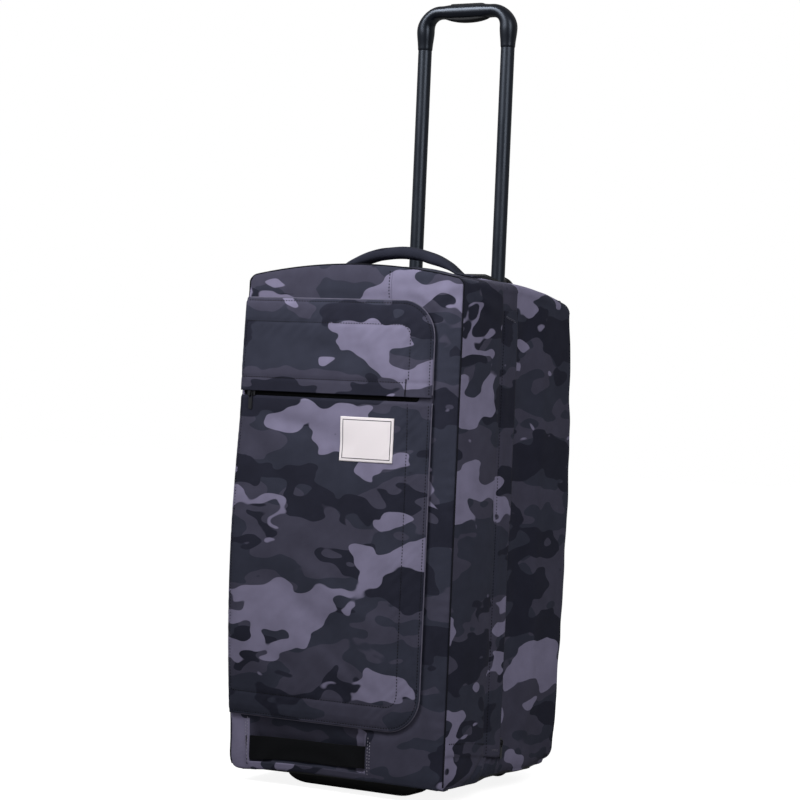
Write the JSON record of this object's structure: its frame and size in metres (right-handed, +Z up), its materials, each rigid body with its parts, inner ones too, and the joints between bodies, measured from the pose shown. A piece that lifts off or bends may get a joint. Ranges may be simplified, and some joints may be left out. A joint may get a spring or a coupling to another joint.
{
  "type": "rolling duffel bag",
  "caption": "Upright rolling duffel bag with a telescoping handle, two rear wheels and a front foot, zipped side openings under storm flaps and a raised front pocket.",
  "frame": {"origin": "on the ground under the middle of the outline", "axes": "+Z up along the bag's height and the handle's travel, -Y towards the front pocket, +X to the right seen from the front"},
  "size_m": [0.356, 0.349, 1.121],
  "materials": {
    "camouflage": "woven polyester, printed camouflage",
    "lining": "plain dark lining over board",
    "webbing": "woven black webbing and padded cloth",
    "piping": "woven black piping",
    "zip_tape": "black coil zip on woven tape",
    "label": "pale woven patch, bare",
    "moulding": "black moulded plastic, fine grain",
    "grip_plastic": "satin black moulded plastic",
    "soft_grip": "black soft-touch rubber",
    "tube": "satin near-black anodised tube",
    "inner_metal": "plain extruded aluminium",
    "steel": "turned steel",
    "gunmetal": "dark plated slider and pull",
    "tread": "black rubber tread",
    "hub": "dark moulded hub"
  },
  "bodies": {
    "bag": {"front_gusset_right": "camouflage", "front_gusset_left": "camouflage", "storm_flap_right": "camouflage", "storm_flap_left": "camouflage", "rear_side_right": "camouflage", "rear_side_left": "camouflage", "top_panel": "camouflage", "front_panel": "camouflage", "back_panel": "camouflage", "pocket_panel": "camouflage", "pocket_yoke": "camouflage", "grab_recess": "camouflage", "frame_sheet": "lining", "grab_strap": "webbing", "carry_handle": "webbing", "front_piping_right": "piping", "front_piping_left": "piping", "side_zip_right": "zip_tape", "side_zip_left": "zip_tape", "pocket_zip": "zip_tape", "label_patch": "label", "base_tray": "moulding", "front_foot": "moulding", "wheel_housing_right": "moulding", "wheel_housing_left": "moulding", "kick_plate": "moulding", "skid_rail_right": "moulding", "skid_rail_left": "moulding", "guide_bush_right": "moulding", "guide_bush_left": "moulding", "tube_bracket": "moulding", "trolley_cup": "moulding", "outer_tube_right": "inner_metal", "outer_tube_left": "inner_metal", "wheel_axle_right": "steel", "wheel_axle_left": "steel"},
    "wheel_right": {"wheel_tyre_right": "tread", "wheel_hub_right": "hub", "wheel_bearings_right": "steel"},
    "wheel_left": {"wheel_tyre_left": "tread", "wheel_hub_left": "hub", "wheel_bearings_left": "steel"},
    "side_zip_slider_right": {"side_slider_right": "gunmetal"},
    "side_zip_slider_left": {"side_slider_left": "gunmetal"},
    "side_zip_pull_right": {"side_pull_right": "gunmetal"},
    "side_zip_pull_left": {"side_pull_left": "gunmetal"},
    "pocket_zip_slider": {"pocket_slider": "gunmetal"},
    "pocket_zip_pull": {"pocket_pull": "gunmetal"},
    "trolley": {"inner_tube_right": "tube", "inner_tube_left": "tube", "tube_glide_right": "moulding", "tube_glide_left": "moulding", "grip_shell": "grip_plastic", "grip_belly": "soft_grip"},
    "release": {"grip_button": "grip_plastic", "release_link": "inner_metal", "release_rod_right": "steel", "release_rod_left": "steel"},
    "lock_right": {"lock_pin_right": "steel"},
    "lock_left": {"lock_pin_left": "steel"}
  },
  "joints": [
    {"name": "wheel_spin_right", "type": "hinge", "parent": "bag", "child": "wheel_right", "pos_m": [0.096, 0.1395, 0.035], "axis": [1, 0, 0], "continuous": true},
    {"name": "wheel_spin_left", "type": "hinge", "parent": "bag", "child": "wheel_left", "pos_m": [-0.096, 0.1395, 0.035], "axis": [1, 0, 0], "continuous": true},
    {"name": "side_zip_slide_right", "type": "slide", "parent": "bag", "child": "side_zip_slider_right", "axis": [0, 0, 1], "range_m": [0, 0.585]},
    {"name": "side_zip_slide_left", "type": "slide", "parent": "bag", "child": "side_zip_slider_left", "axis": [0, 0, 1], "range_m": [0, 0.585]},
    {"name": "side_pull_swing_right", "type": "hinge", "parent": "side_zip_slider_right", "child": "side_zip_pull_right", "pos_m": [0.1682, 0.0085, 0.0708], "axis": [0, -1, 0], "range_deg": [0, 150]},
    {"name": "side_pull_swing_left", "type": "hinge", "parent": "side_zip_slider_left", "child": "side_zip_pull_left", "pos_m": [-0.1682, 0.0085, 0.0708], "axis": [0, 1, 0], "range_deg": [0, 150]},
    {"name": "pocket_zip_slide", "type": "slide", "parent": "bag", "child": "pocket_zip_slider", "axis": [1, 0, 0], "range_m": [0, 0.257]},
    {"name": "pocket_pull_swing", "type": "hinge", "parent": "pocket_zip_slider", "child": "pocket_zip_pull", "pos_m": [-0.151, -0.1717, 0.5392], "axis": [-1, 0, 0], "range_deg": [0, 150]},
    {"name": "trolley_slide", "type": "slide", "parent": "bag", "child": "trolley", "axis": [0, 0, 1], "range_m": [-0.4, 0]},
    {"name": "button_press", "type": "slide", "parent": "trolley", "child": "release", "axis": [0, 0, 1], "range_m": [-0.004, 0], "stiffness_N_per_m": 1500, "springref_m": 0.002},
    {"name": "lock_pin_draw_right", "type": "slide", "parent": "trolley", "child": "lock_right", "axis": [1, 0, 0], "range_m": [-0.002, 0]},
    {"name": "lock_pin_draw_left", "type": "slide", "parent": "trolley", "child": "lock_left", "axis": [-1, 0, 0], "range_m": [-0.002, 0]}
  ],
  "couplings": [
    {"joint": "lock_pin_draw_right", "follows": "button_press", "ratio": 0.5},
    {"joint": "lock_pin_draw_left", "follows": "button_press", "ratio": 0.5}
  ]
}
